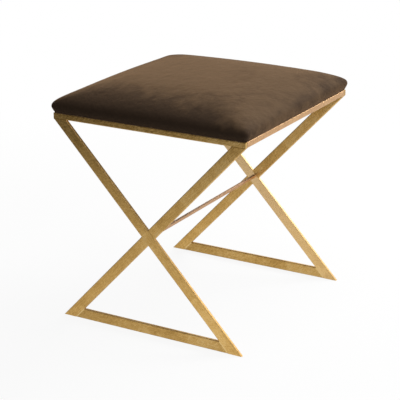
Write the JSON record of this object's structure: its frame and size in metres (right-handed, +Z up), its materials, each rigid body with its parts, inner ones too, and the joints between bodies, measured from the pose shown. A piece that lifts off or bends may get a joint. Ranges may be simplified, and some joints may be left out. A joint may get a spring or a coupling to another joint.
{
  "type": "x frame stool",
  "caption": "Square stool with a domed velvet cushion on two welded flat-bar X frames joined by a slim top frame and a thin stretcher.",
  "frame": {"origin": "on the floor, under the centre of the seat", "axes": "+Z up, X across the two X frames' faces, Y from the front X frame (-Y) to the back one (+Y)"},
  "size_m": [0.4662, 0.4782, 0.5213],
  "materials": {
    "gold_leaf": "antique gold leaf, rubbed",
    "zinc_steel": "zinc plated",
    "staple_wire": "galvanised wire",
    "plywood": "raw plywood",
    "dust_cloth": "black non-woven cloth",
    "foam": "open-cell polyurethane foam",
    "batting": "polyester batting",
    "velvet": "dark brown velvet, short nap"
  },
  "bodies": {
    "root": {"top_rail_front": "gold_leaf", "top_rail_back": "gold_leaf", "top_rail_left": "gold_leaf", "top_rail_right": "gold_leaf", "leg_long_front": "gold_leaf", "leg_long_back": "gold_leaf", "leg_upper_front": "gold_leaf", "leg_upper_back": "gold_leaf", "leg_lower_front": "gold_leaf", "leg_lower_back": "gold_leaf", "bottom_rail_front": "gold_leaf", "bottom_rail_back": "gold_leaf", "stretcher": "gold_leaf", "corner_plate_front_left": "gold_leaf", "corner_plate_front_right": "gold_leaf", "corner_plate_back_right": "gold_leaf", "corner_plate_back_left": "gold_leaf", "washers": "zinc_steel", "seat_screws": "zinc_steel", "staples": "staple_wire", "seat_board": "plywood", "dust_cover": "dust_cloth", "foam_pad": "foam", "batting_wrap": "batting", "velvet_cover": "velvet"}
  },
  "joints": []
}
